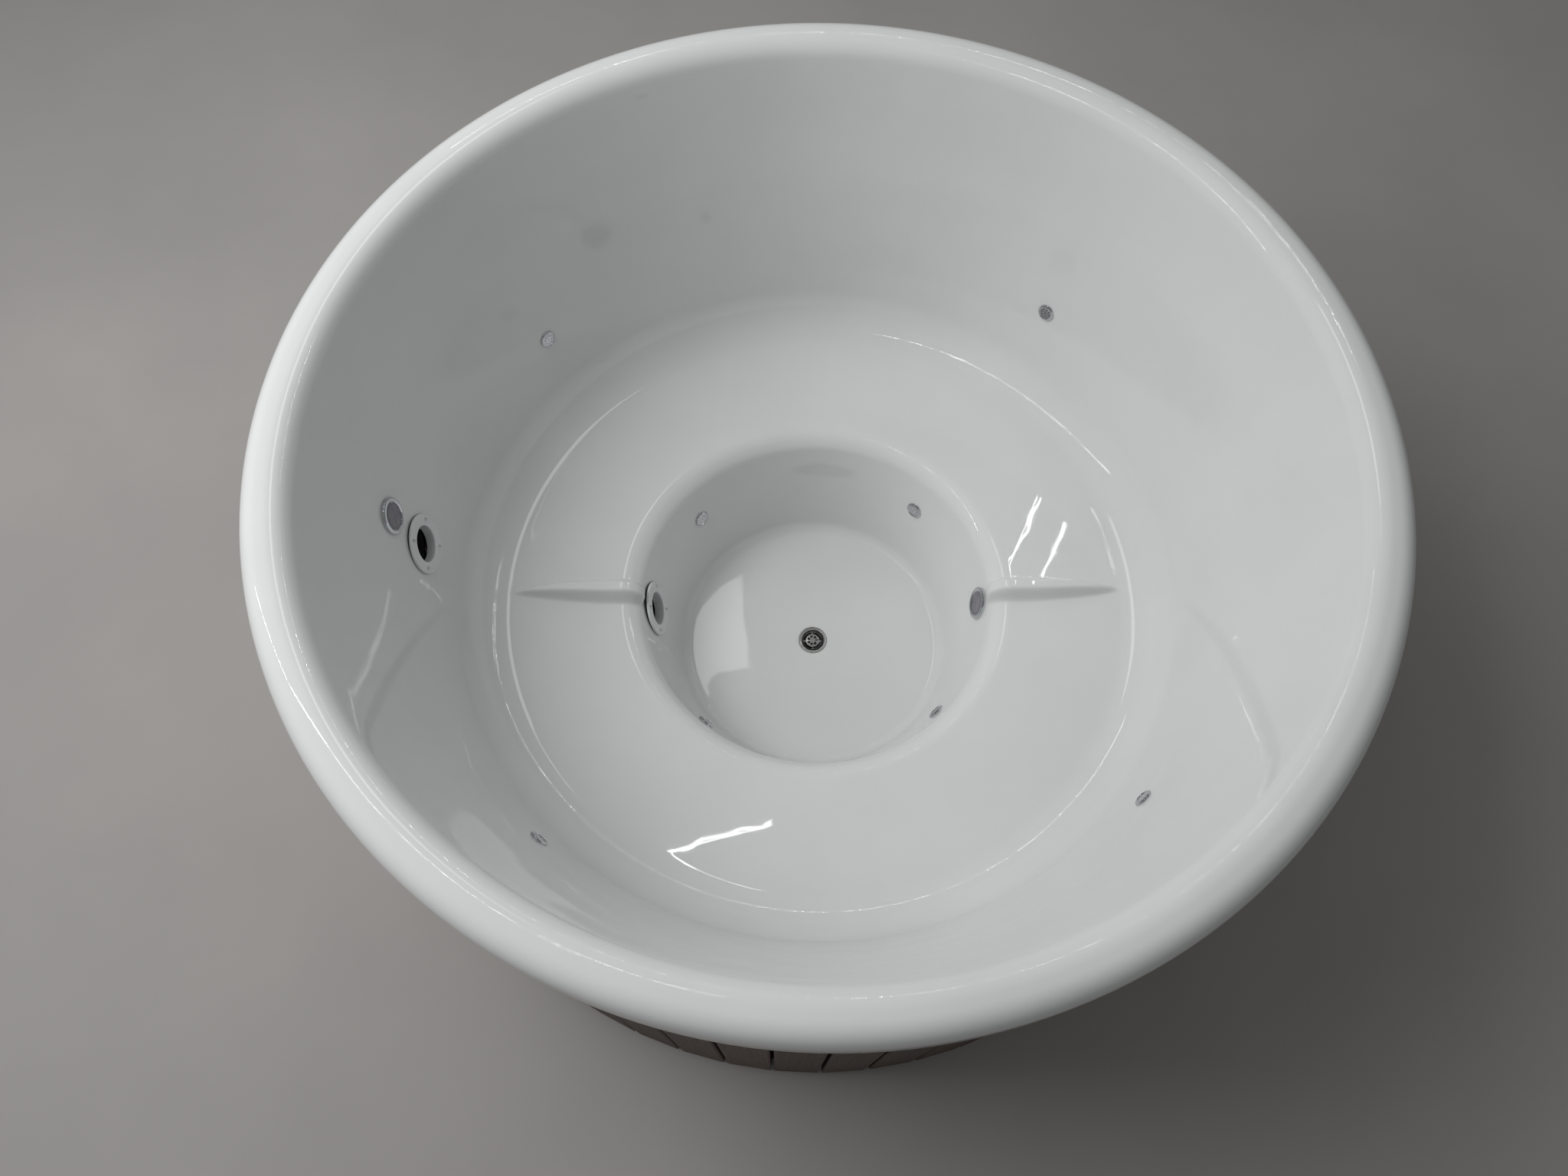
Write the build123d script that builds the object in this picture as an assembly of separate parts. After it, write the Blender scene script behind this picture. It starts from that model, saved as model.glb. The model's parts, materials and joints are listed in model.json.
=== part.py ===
from build123d import *
from math import atan2, cos, hypot, pi, radians, sin, sqrt, tan
import os

os.makedirs("parts", exist_ok=True)

# A round hot tub, in millimetres. Z is up and the ground is at zero. The tub's axis is the Z axis.
# The heater side is -X, and the front is -Y.

# Moulded shell: heights above the ground, and how far its wet side steps in from the rim's edge
bearer_height = 70.0
deck_thickness = 18.0
shell_wall = 8.0
floor_level = bearer_height + deck_thickness + shell_wall
bench_level = 383.0
rim_top = 1060.0
rim_radius = 1000.0
rim_drop = 75.0
rim_width = 82.0
wall_step = 167.0
bench_width = 355.0
well_step = 82.0
wall_top_radius = rim_radius - rim_width
bench_outer_radius = wall_top_radius - wall_step
well_top_radius = bench_outer_radius - bench_width
well_foot_radius = well_top_radius - well_step

# Rounds between the faces of the wet side
rim_outer_round = 38.0
rim_inner_round = 45.0
bench_round = 110.0
well_edge_round = 50.0
floor_round = 30.0

# Two armrest ridges on the bench, which end on the foot well's edge
ridge_height = 36.0
ridge_half_width = 31.0
ridge_length = 276.0
ridge_tip_radius = well_top_radius + ridge_length
ridge_root = 6.0
ridge_foot_depth = 25.0
# Shares of its width and height where it rolls over the well's edge, by turn from upright,
# and along the bench, by share of the way to its tip
ridge_over_edge = ((70, 0.8, -0.13), (54, 0.86, 0.3), (36, 0.92, 0.66), (18, 0.98, 0.91), (0, 1.0, 1.0))
ridge_on_bench = ((0, 1.0, 1.0), (0.25, 0.94, 1.0), (0.5, 0.76, 0.94), (0.75, 0.48, 0.7), (1.0, 0.12, -0.05))

# Boards round the outside, the frame that carries them, and the timber base
board_count = 60
board_gap = 8.0
board_thickness = 18.0
board_edge_bevel = 3.0
board_foot = 18.0
board_top_clearance = 24.0
board_hole_gap = 2.5
board_setback = 23.0
cladding_radius = rim_radius - board_setback
seat_gap = 0.3
ring_width = 18.5
ring_height = 46.0
ring_bevel = 5.0
post_count = 4
post_first_azimuth = 20.0
post_width = 70.0
post_depth = 41.0
post_setback = 2.0
bearer_width = 45.0
bearer_setback = 37.0
bearer_reach = cladding_radius - bearer_setback
bearer_places = (-0.745, -0.277, 0.277, 0.745)
deck_hole_radius = 46.0

# Flanges that join the tub to its heater, upper and lower
heater_azimuth = 180.0
heater_upper_height = 620.0
heater_lower_height = 290.0
heater_flange_radius = 62.0
heater_flange_thickness = 5.0
heater_bore_radius = 37.5
spigot_radius = 42.0
spigot_length = 60.0
seal_thickness = 1.2
bedding_gap = 0.1
screw_circle_radius = 51.0
screw_count = 4
screw_turn = 20.0
screw_shank_radius = 2.0
screw_head_radius = 3.8
screw_head_height = 2.2
screw_length = 16.0
hose_wall = 4.5
hose_lap = 38.0
hose_overhang = 19.0
hose_end = cladding_radius + hose_overhang
hose_bend_radius = 160.0
hose_first_run = 105.0

# Lamps
lamp_upper_height = 740.0
lamp_lower_height = 310.0
lamp_upper_azimuth = 180.0
lamp_lower_azimuth = 0.0
bezel_radius = 37.5
bezel_height = 7.4
lens_radius = 27.0
lens_thickness = 3.0
lamp_body_radius = 25.0
lamp_body_depth = 44.0
lamp_body_wall = 2.5
lamp_nut_radius = 33.0
nut_height = 9.0

# Air nozzles, in two rings of four
nozzle_count = 4
upper_nozzle_height = 592.0
lower_nozzle_height = 267.0
upper_nozzle_turn = 48.5
lower_nozzle_turn = 47.3
cap_radius = 19.5
cap_dome_height = 5.0
cap_face_radius = 14.3
cap_face_height = 3.6
cap_skirt_radius = 11.9
cap_skirt_depth = 12.0
cap_wall = 1.4
cap_skirt_wall = 1.0
cap_hole_radius = 1.2
cap_hole_circle = 9.5
cap_hole_count = 8
nozzle_radius = 14.5
nozzle_bore_radius = 12.1
nozzle_length = 52.0
nozzle_lap = 11.0
nozzle_nut_radius = 21.0

# Air pipes, fan and motor
air_pipe_radius = 16.0
air_pipe_wall = 3.0
air_ring_offset = 68.0
air_tee_radius = 20.5
air_tee_depth = 19.0
air_ring_overhang = 8.0
feed_radius = 20.0
feed_azimuth = 90.0
feed_bend_radius = 70.0
feed_socket_length = 40.0
feed_lap = 20.0
feed_throat_radius = 10.0
socket_wall = 3.5
tee_reach = 46.0
tee_distance = 640.0
fan_casing_radius = 112.0
fan_casing_height = 70.0
fan_casing_wall = 4.0
fan_centre_x = 195.0
fan_inlet_radius = 38.0
fan_wheel_radius = 96.0
fan_blade_count = 9
fan_blade_thickness = 3.0
fan_disc_thickness = 4.0
fan_hub_radius = 14.0
fan_air_gap = 8.0
shaft_radius = 6.0
shaft_length = 96.0
motor_radius = 62.0
motor_foot_radius = 84.0
motor_foot_thickness = 8.0
running_gap = 0.05
slip_gap = 0.3
end_gap = 0.5

# Drain in the middle of the floor, with its pipe under the deck
drain_azimuth = 45.0
drain_axis_height = 38.0
drain_flange_radius = 35.0
drain_flange_thickness = 2.0
drain_dish_radius = 25.0
drain_dish_depth = 7.0
drain_throat_radius = 21.5
drain_tail_radius = 24.0
drain_tail_length = 34.0
grid_radius = 16.5
grid_thickness = 2.0
grid_hole_radius = 3.0
grid_hole_circle = 9.5
grid_hole_count = 7
grid_screw_radius = 2.6
grid_screw_head_radius = 4.2
grid_screw_head_height = 1.2
grid_screw_length = 9.0
spider_width = 3.0
spider_height = 5.0
spider_hub_radius = 5.0
drain_gasket_thickness = 3.0
drain_nut_radius = 34.0
drain_nut_height = 10.0
drain_pipe_radius = 20.0
drain_pipe_wall = 2.0
elbow_reach = 62.0
elbow_socket_depth = 20.0
elbow_rise = 34.0

# Ball valve outside the boards
valve_clearance = 47.0
valve_distance = cladding_radius + valve_clearance
valve_half_length = 42.0
valve_waist_radius = 25.0
valve_belly_radius = 30.0
valve_belly_half_length = 23.0
valve_ball_radius = 22.0
valve_port_radius = 15.0
valve_outlet_length = 24.0
valve_neck_radius = 11.0
valve_neck_top = 41.0
stem_radius = 6.0
stem_flat = 8.0
stem_top = 52.0
tang_width = 5.0
tang_depth = 4.0
handle_length = 112.0
handle_width = 18.0
handle_thickness = 4.0
handle_rise = 14.0
grip_start = 34.0

pieces = {}
on_its_foot = (Align.CENTER, Align.CENTER, Align.MIN)


def rod(radius, low, high):
    return extrude(Pos(0, 0, low) * Circle(radius), high - low)


def ring(outer, inner, low, high):
    return extrude(Pos(0, 0, low) * (Circle(outer) - Circle(inner)), high - low)


def hex_ring(outer, inner, low, high):
    return extrude(Pos(0, 0, low) * (RegularPolygon(outer, 6) - Circle(inner)), high - low)


def turned(*points):
    return revolve(make_face(Plane.XZ * Polyline(*points, close=True)), Axis.Z)


def tube_along(path, outer, inner):
    start = Plane(path @ 0, z_dir=path % 0)
    return sweep(start * (Circle(outer) - Circle(inner)), path)


def around(angle):
    return Rot(0, 0, angle)


# Places on the two leaning walls

def wall_slope():
    return (wall_top_radius - bench_outer_radius) / (rim_top - bench_level)


def well_slope():
    return (well_top_radius - well_foot_radius) / (bench_level - floor_level)


def wall_radius(height):
    return bench_outer_radius + (height - bench_level) * wall_slope()


def well_radius(height):
    return well_foot_radius + (height - floor_level) * well_slope()


def on_wall(radius, slope, azimuth, height):
    """A frame on a leaning wall's wet side. Its Z points square into the water, and its Y up the wall."""
    angle = radians(azimuth)
    lean = atan2(slope, 1)
    inward = (-cos(angle) * cos(lean), -sin(angle) * cos(lean), sin(lean))
    origin = (radius * cos(angle), radius * sin(angle), height)
    return Plane(origin, x_dir=(sin(angle), -cos(angle), 0), z_dir=inward).location


def on_upper_wall(azimuth, height):
    return on_wall(wall_radius(height), wall_slope(), azimuth, height)


def on_well_wall(azimuth, height):
    return on_wall(well_radius(height), well_slope(), azimuth, height)


def curve_depth(half_width, radius, slope):
    """How far a hollow wall rises towards the water at half_width beside a fitting's centre."""
    bend = radius * sqrt(1 + slope * slope)
    return bend - sqrt(bend * bend - half_width * half_width)


# Room inside each wall: what beds on a wall is cut to it, less a film of sealant
def wall_space(low_radius, low, high_radius, high):
    return turned((0, low), (low_radius - bedding_gap, low), (high_radius - bedding_gap, high), (0, high))


upper_space = wall_space(bench_outer_radius, bench_level, wall_top_radius, rim_top)
well_space = wall_space(well_foot_radius, floor_level, well_top_radius, bench_level)

upper_nozzle_azimuths = [upper_nozzle_turn + 360 / nozzle_count * i for i in range(nozzle_count)]
lower_nozzle_azimuths = [lower_nozzle_turn + 360 / nozzle_count * i for i in range(nozzle_count)]
nozzle_places = {}
for number, azimuth in enumerate(upper_nozzle_azimuths, 1):
    nozzle_places[f"upper_{number}"] = (on_upper_wall(azimuth, upper_nozzle_height), upper_space)
for number, azimuth in enumerate(lower_nozzle_azimuths, 1):
    nozzle_places[f"lower_{number}"] = (on_well_wall(azimuth, lower_nozzle_height), well_space)

heater_places = {
    "upper": (on_upper_wall(heater_azimuth, heater_upper_height), upper_space,
              curve_depth(heater_flange_radius, wall_radius(heater_upper_height), wall_slope())),
    "lower": (on_well_wall(heater_azimuth, heater_lower_height), well_space,
              curve_depth(heater_flange_radius, well_radius(heater_lower_height), well_slope())),
}
lamp_places = {
    "upper": (on_upper_wall(lamp_upper_azimuth, lamp_upper_height), upper_space,
              curve_depth(bezel_radius, wall_radius(lamp_upper_height), wall_slope())),
    "lower": (on_well_wall(lamp_lower_azimuth, lamp_lower_height), well_space,
              curve_depth(bezel_radius, well_radius(lamp_lower_height), well_slope())),
}
screw_spots = PolarLocations(screw_circle_radius, screw_count, start_angle=screw_turn)


# The shell: one wall of even thickness from the drain to the rolled rim

def mitred(points, distance):
    """The corners of a line of straight runs after it is moved sideways, to its right, by distance."""
    moved = []
    for (r1, z1), (r2, z2) in zip(points, points[1:]):
        length = hypot(r2 - r1, z2 - z1)
        side = ((z2 - z1) / length * distance, (r1 - r2) / length * distance)
        moved.append(((r1 + side[0], z1 + side[1]), (r2 - r1, z2 - z1)))
    corners = [moved[0][0]]
    for ((r1, z1), (a1, b1)), ((r2, z2), (a2, b2)) in zip(moved, moved[1:]):
        along = ((r2 - r1) * b2 - (z2 - z1) * a2) / (a1 * b2 - b1 * a2)
        corners.append((r1 + a1 * along, z1 + b1 * along))
    (last_r, last_z), (a, b) = moved[-1]
    return corners + [(last_r + a, last_z + b)]


def shell_side(depth):
    """The shell's outline from the axis to the rim's edge, at a depth below its wet side."""
    corners = [
        (0, floor_level), (well_foot_radius, floor_level), (well_top_radius, bench_level),
        (bench_outer_radius, bench_level), (wall_top_radius, rim_top), (rim_radius, rim_top),
        (rim_radius, rim_top - rim_drop)]
    rounds = [
        floor_round + depth, well_edge_round - depth, bench_round + depth, rim_inner_round - depth,
        rim_outer_round - depth]
    return FilletPolyline(*mitred(corners, depth), radius=rounds)


def ridge_section(place, width_share, height_share):
    """A rounded arch across the ridge. Its place has the centre of the well edge's round at its origin."""
    half = ridge_half_width * width_share
    low = well_edge_round - ridge_root
    high = well_edge_round + ridge_height * height_share
    deep = well_edge_round - ridge_foot_depth
    haunch = low + (high - low) * 0.8
    left = Bezier((-half, low), (-half * 0.8, haunch), (-half * 0.5, high), (0, high))
    right = Bezier((0, high), (half * 0.5, high), (half * 0.8, haunch), (half, low))
    foot = Polyline((half, low), (half, deep), (-half, deep), (-half, low))
    return place * (Plane.YZ * make_face(left + right + foot))


def make_ridge():
    edge_turn = radians(90) - atan2(well_slope(), 1)
    level_start = well_top_radius + well_edge_round * tan(edge_turn / 2)
    run = ridge_tip_radius - level_start
    rolled = []
    for turn, width_share, height_share in ridge_over_edge:
        roll = Pos(level_start, 0, bench_level - well_edge_round) * Rot(0, -turn, 0)
        rolled.append(ridge_section(roll, width_share, height_share))
    level = []
    for run_share, width_share, height_share in ridge_on_bench:
        place = Pos(level_start + run * run_share, 0, bench_level - well_edge_round)
        level.append(ridge_section(place, width_share, height_share))
    ridge = loft(rolled) + loft(level)
    mid_wall = shell_side(shell_wall / 2)
    over_rim = rim_top + rim_drop
    above = Polyline(
        mid_wall @ 1, (rim_radius, rim_top - rim_drop), (rim_radius, over_rim), (0, over_rim), mid_wall @ 0)
    room_above = revolve(Plane.XZ * make_face(mid_wall + above), Axis.Z)
    return ridge & room_above


def make_shell():
    wet_side = shell_side(0)
    dry_side = shell_side(shell_wall)
    ends = Line(wet_side @ 0, dry_side @ 0) + Line(wet_side @ 1, dry_side @ 1)
    shell = revolve(Plane.XZ * make_face(wet_side + dry_side + ends), Axis.Z)
    ridge = make_ridge()
    shell += ridge
    shell += around(180) * ridge
    through = shell_wall * 4
    proud = shell_wall * 2
    shell -= rod(drain_tail_radius + slip_gap, floor_level - through, floor_level + proud)
    for place, _ in nozzle_places.values():
        shell -= place * rod(nozzle_radius + slip_gap, -through, proud)
    for place, _, _ in lamp_places.values():
        shell -= place * rod(lamp_body_radius + slip_gap, -through, proud)
    for place, _, _ in heater_places.values():
        shell -= place * rod(spigot_radius + slip_gap, -through, proud)
        for spot in screw_spots:
            shell -= place * spot * rod(screw_shank_radius + slip_gap / 2, -through, proud)
    return shell


pieces["shell"] = make_shell()


# Timber base, ring and posts

shell_underside = floor_level - shell_wall
board_inner_radius = cladding_radius - board_thickness
frame_radius = board_inner_radius - seat_gap
rim_underside = rim_top - shell_wall
ring_top = rim_underside - seat_gap
ring_foot = ring_top - ring_height

pieces["deck"] = ring(frame_radius, deck_hole_radius, bearer_height, bearer_height + deck_thickness)

for number, bearer_place in enumerate(bearer_places, 1):
    bearer_offset = bearer_reach * bearer_place
    half_length = sqrt(bearer_reach ** 2 - (abs(bearer_offset) + bearer_width / 2) ** 2)
    bearer = Box(2 * half_length, bearer_width, bearer_height, align=on_its_foot)
    pieces[f"bearer_{number}"] = around(drain_azimuth) * Pos(0, bearer_offset, 0) * bearer

pieces["rim_ring"] = turned(
    (frame_radius - ring_width, ring_foot), (frame_radius, ring_foot), (frame_radius, ring_top),
    (frame_radius - ring_bevel, ring_top), (frame_radius - ring_width, ring_top - ring_bevel))

post_height = ring_foot - shell_underside
post_face_radius = frame_radius - post_setback
for number in range(1, post_count + 1):
    post = Box(post_depth, post_width, post_height, align=(Align.MAX, Align.CENTER, Align.MIN))
    turn = post_first_azimuth + 360 / post_count * (number - 1)
    pieces[f"post_{number}"] = around(turn) * Pos(post_face_radius, 0, shell_underside) * post


# Boards in four quarters, cut for the heater hoses and the drain pipe

board_width = 2 * cladding_radius * tan(pi / board_count) - board_gap
board_top = rim_top - board_top_clearance
quarters = ("right", "rear", "left", "front")


def make_board():
    middle_radius = cladding_radius - board_thickness / 2
    board = Box(board_thickness, board_width, board_top - board_foot, align=on_its_foot)
    outer_edges = board.faces().sort_by(Axis.X)[-1].edges().filter_by(Axis.Z)
    return Pos(middle_radius, 0, board_foot) * chamfer(outer_edges, board_edge_bevel)


def make_cladding():
    board = make_board()
    hose_hole = spigot_radius + slip_gap + hose_wall + board_hole_gap
    through = board_thickness * 3
    cuts = []
    for place, _, _ in heater_places.values():
        corner = (place * Pos(0, 0, -hose_first_run)).position
        cuts.append(Pos(-cladding_radius, 0, corner.Z) * Rot(0, 90, 0) * rod(hose_hole, -through, through))
    outlet = Pos(cladding_radius, 0, drain_axis_height) * Rot(0, 90, 0)
    cuts.append(around(drain_azimuth) * outlet * rod(drain_pipe_radius + board_hole_gap, -through, through))
    cladding = {name: [] for name in quarters}
    for index in range(board_count):
        azimuth = (index + 0.5) * 360 / board_count
        placed = around(azimuth) * board
        for cut in cuts:
            placed -= cut
        quarter = int((azimuth + 45) // 90) % 4
        cladding[quarters[quarter]] += placed.solids()
    return {name: Compound(boards) for name, boards in cladding.items()}


for name, boards in make_cladding().items():
    pieces[f"cladding_{name}"] = boards


# Heater flanges, their seals and screws, and the hoses out to the heater

def make_hose(place, name):
    first = (place * Pos(0, 0, hose_lap - spigot_length)).position
    corner = (place * Pos(0, 0, -hose_first_run)).position
    last = Vector(-hose_end, 0, corner.Z)
    path = FilletPolyline(first, corner, last, radius=hose_bend_radius)
    inner = spigot_radius + slip_gap
    return tube_along(path, inner + hose_wall, inner)


seals = []
screws = []
for name, (place, space, depth) in heater_places.items():
    back = depth + seal_thickness
    front = back + heater_flange_thickness
    shoulder = front - heater_flange_thickness / 2
    flange = turned(
        (heater_bore_radius, front - 1.5), (heater_bore_radius + 1.5, front),
        (heater_flange_radius - 3, front), (heater_flange_radius, shoulder),
        (heater_flange_radius, back), (spigot_radius, back),
        (spigot_radius, -spigot_length), (heater_bore_radius, -spigot_length))
    behind_curve = -depth
    seal = ring(heater_flange_radius - 1, spigot_radius + slip_gap, behind_curve, back)
    shank = rod(screw_shank_radius, front - screw_length, front)
    head = Cone(screw_head_radius, screw_head_radius * 0.55, screw_head_height, align=on_its_foot)
    screw = shank + Pos(0, 0, front) * head
    for spot in screw_spots:
        hole = spot * rod(screw_shank_radius + slip_gap / 2, -screw_length, front + screw_length)
        flange -= hole
        seal -= hole
        screws += (place * spot * screw).solids()
    pieces[f"heater_flange_{name}"] = place * flange
    seals += ((place * seal) & space).solids()
    pieces[f"heater_hose_{name}"] = make_hose(place, name)
pieces["heater_seals"] = Compound(seals)
pieces["heater_screws"] = Compound(screws)


# Lamps: a cup through the wall with its nut, a bezel bedded on the wall, and a lens held in the bezel

nut_top = -shell_wall - slip_gap

for name, (place, space, depth) in lamp_places.items():
    front = depth + bezel_height
    lens_seat = front - lens_thickness - 1.4
    inside = lamp_body_radius - lamp_body_wall
    cup = rod(lamp_body_radius, -lamp_body_depth, lens_seat)
    cup -= rod(inside, lamp_body_wall - lamp_body_depth, lens_seat + 1)
    nut = hex_ring(lamp_nut_radius, lamp_body_radius - 1, nut_top - nut_height, nut_top)
    behind_curve = -depth
    bezel = turned(
        (lamp_body_radius + slip_gap, behind_curve), (bezel_radius, behind_curve),
        (bezel_radius, front - 5.5), (bezel_radius - 2.5, front - 1.2), (bezel_radius - 5, front),
        (lens_radius + 0.6, front - 1.8), (lens_radius + slip_gap, front - 3),
        (lens_radius + slip_gap, lens_seat), (lamp_body_radius + slip_gap, lens_seat))
    lens = turned(
        (0, lens_seat), (lens_radius, lens_seat), (lens_radius, lens_seat + lens_thickness * 0.5),
        (lens_radius * 0.5, lens_seat + lens_thickness * 0.85), (0, lens_seat + lens_thickness))
    pieces[f"lamp_{name}_body"] = place * (cup + nut)
    pieces[f"lamp_{name}_bezel"] = (place * bezel) & space
    pieces[f"lamp_{name}_lens"] = place * lens


# Air nozzles: a threaded body through the wall, and a chromed cap with a ring of holes

def make_cap(place, space):
    under_face = cap_face_height - cap_wall
    round_body = nozzle_radius + slip_gap * 2
    dome = turned(
        (0, under_face), (round_body, under_face), (round_body, -under_face), (cap_radius, -under_face),
        (cap_radius, cap_dome_height * 0.3), (cap_radius - 1.3, cap_dome_height * 0.7),
        (cap_radius - 3.6, cap_dome_height), (cap_face_radius + 0.5, cap_dome_height - 0.6),
        (cap_face_radius, cap_face_height), (0, cap_face_height))
    for spot in PolarLocations(cap_hole_circle, cap_hole_count):
        dome -= spot * rod(cap_hole_radius, -1, cap_face_height + 1)
    dome -= rod(cap_hole_radius, -1, cap_face_height + 1)
    skirt = ring(cap_skirt_radius, cap_skirt_radius - cap_skirt_wall, -cap_skirt_depth, under_face)
    return ((place * dome) & space) + place * skirt


def make_nozzle_body():
    tube = ring(nozzle_radius, nozzle_bore_radius, -nozzle_length, 2 * slip_gap)
    nut = hex_ring(nozzle_nut_radius, nozzle_radius - 1, nut_top - nut_height, nut_top)
    return tube + nut


nozzle_body = make_nozzle_body()
for name, (place, space) in nozzle_places.items():
    pieces[f"nozzle_cap_{name}"] = make_cap(place, space)
    pieces[f"nozzle_body_{name}"] = place * nozzle_body


# Air pipes: a part ring behind each row of nozzles, and a feed pipe that links both to the fan

def ring_centre(radius, height, slope):
    lean = atan2(slope, 1)
    return radius + air_ring_offset * cos(lean), height - air_ring_offset * sin(lean)


upper_ring_radius, upper_ring_height = ring_centre(
    wall_radius(upper_nozzle_height), upper_nozzle_height, wall_slope())
lower_ring_radius, lower_ring_height = ring_centre(
    well_radius(lower_nozzle_height), lower_nozzle_height, well_slope())
feed_socket_radius = feed_radius + slip_gap + socket_wall


def part_ring(radius, height, tube_radius, first, last):
    section = Plane.XZ * Pos(radius, height) * Circle(tube_radius)
    return around(first) * revolve(section, Axis.Z, revolution_arc=last - first)


def make_air_ring(radius, height, places, azimuths, feed_side):
    turns = sorted((azimuth + 180) % 360 - 180 for azimuth in azimuths)
    first = turns[0] - air_ring_overhang
    last = turns[-1] + air_ring_overhang
    pipe = part_ring(radius, height, air_pipe_radius, first, last)
    socket = around(feed_azimuth) * Pos(radius, 0, height) * feed_side
    for place in places:
        pipe += place * rod(air_tee_radius, -air_ring_offset - air_tee_depth, nozzle_lap - nozzle_length)
    pipe += socket * rod(feed_socket_radius, 0, feed_socket_length)
    for place in places:
        pipe -= place * rod(nozzle_radius + slip_gap, -nozzle_length - end_gap, 0)
        pipe -= place * rod(nozzle_bore_radius, -air_ring_offset, 0)
    pipe -= socket * rod(feed_throat_radius, 0, feed_socket_length + 1)
    pipe -= socket * rod(feed_radius + slip_gap, feed_socket_length - feed_lap, feed_socket_length + 1)
    return pipe


upper_places = [nozzle_places[f"upper_{n + 1}"][0] for n in range(nozzle_count)]
lower_places = [nozzle_places[f"lower_{n + 1}"][0] for n in range(nozzle_count)]
pieces["air_ring_upper"] = make_air_ring(
    upper_ring_radius, upper_ring_height, upper_places, upper_nozzle_azimuths, Rot(0, 180, 0))
pieces["air_ring_lower"] = make_air_ring(
    lower_ring_radius, lower_ring_height, lower_places, lower_nozzle_azimuths, Rot(0, 90, 0))

feed_end_gap = feed_socket_length - feed_lap + end_gap


def make_air_feed():
    path = FilletPolyline(
        Vector(upper_ring_radius, 0, upper_ring_height - feed_end_gap),
        Vector(upper_ring_radius, 0, lower_ring_height),
        Vector(lower_ring_radius + feed_end_gap, 0, lower_ring_height),
        radius=feed_bend_radius)
    outside = tube_along(path, feed_radius, feed_radius - air_pipe_wall)
    branch = Pos(tee_distance, 0, lower_ring_height) * Rot(90, 0, 0)
    outside += branch * rod(feed_socket_radius, 0, tee_reach)
    outside -= branch * rod(feed_radius + slip_gap, tee_reach - feed_lap, tee_reach + 1)
    outside -= branch * rod(feed_radius - air_pipe_wall, 0, tee_reach + 1)
    outside -= Pos(tee_distance, 0, lower_ring_height) * Rot(0, 90, 0) * rod(
        feed_radius - air_pipe_wall, -feed_socket_radius, feed_socket_radius)
    return around(feed_azimuth) * outside


pieces["air_feed"] = make_air_feed()


# Fan under the bench: a drum casing with a side outlet, its wheel, and the motor below

fan_outlet_shift = fan_casing_radius - feed_radius - fan_casing_wall
fan_centre = Pos(fan_centre_x, tee_distance - fan_outlet_shift, lower_ring_height)
casing_low = -fan_casing_height / 2
casing_high = fan_casing_height / 2
wheel_low = casing_low + fan_casing_wall + fan_air_gap / 2
wheel_high = casing_high - fan_casing_wall - fan_air_gap


def make_fan_casing():
    outlet_length = fan_centre_x - (tee_reach - feed_lap + end_gap)
    outlet = Pos(0, fan_outlet_shift, 0) * Rot(0, -90, 0)
    drum = rod(fan_casing_radius, casing_low, casing_high) + outlet * rod(feed_radius, 0, outlet_length)
    inside_radius = fan_casing_radius - fan_casing_wall
    inside = rod(inside_radius, casing_low + fan_casing_wall, casing_high - fan_casing_wall)
    inside += outlet * rod(feed_radius - air_pipe_wall, 0, outlet_length + 1)
    drum -= inside
    drum -= rod(fan_inlet_radius, 0, casing_high + 1)
    drum -= rod(shaft_radius + 2, casing_low - 1, 0)
    return drum


def make_fan_wheel():
    wheel = rod(fan_wheel_radius, wheel_low, wheel_low + fan_disc_thickness)
    wheel += rod(fan_hub_radius, wheel_low, wheel_high)
    blade_length = fan_wheel_radius - fan_inlet_radius
    blade_height = wheel_high - wheel_low
    blade = Box(blade_length, fan_blade_thickness, blade_height, align=(Align.MAX, Align.CENTER, Align.MIN))
    for number in range(fan_blade_count):
        wheel += around(360 / fan_blade_count * number) * Pos(fan_wheel_radius - 2, 0, wheel_low) * blade
    shaft = rod(shaft_radius, casing_low - shaft_length, wheel_low + 1)
    return wheel + shaft


def make_motor():
    foot_level = shell_underside - lower_ring_height
    frame = rod(motor_foot_radius, foot_level, foot_level + motor_foot_thickness)
    frame += rod(motor_radius, foot_level, casing_low)
    return frame - rod(shaft_radius + running_gap, casing_low - shaft_length - 1, casing_low + 1)


pieces["fan_casing"] = fan_centre * make_fan_casing()
pieces["fan_wheel"] = fan_centre * make_fan_wheel()
pieces["fan_motor"] = fan_centre * make_motor()


# Drain: dished flange, grid on a spider, gasket and nut under the floor, elbow and pipe

grid_seat = floor_level - drain_dish_depth + 3
spider_low = grid_seat - 8


def make_drain_flange():
    low = floor_level - drain_tail_length
    bowl = turned(
        (drain_throat_radius, low), (drain_tail_radius, low), (drain_tail_radius, floor_level),
        (drain_flange_radius, floor_level), (drain_flange_radius, floor_level + drain_flange_thickness / 2),
        (drain_flange_radius - 2.5, floor_level + drain_flange_thickness),
        (drain_dish_radius + 3, floor_level + drain_flange_thickness - 0.8),
        (drain_throat_radius, floor_level - drain_dish_depth))
    arm = Box(2 * drain_throat_radius + 1, spider_width, spider_height, align=on_its_foot)
    for turn in (0, 90):
        bowl += around(turn) * Pos(0, 0, spider_low) * arm
    bowl += rod(spider_hub_radius, spider_low, grid_seat)
    return bowl - rod(grid_screw_radius, spider_low - 1, grid_seat + 1)


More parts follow.
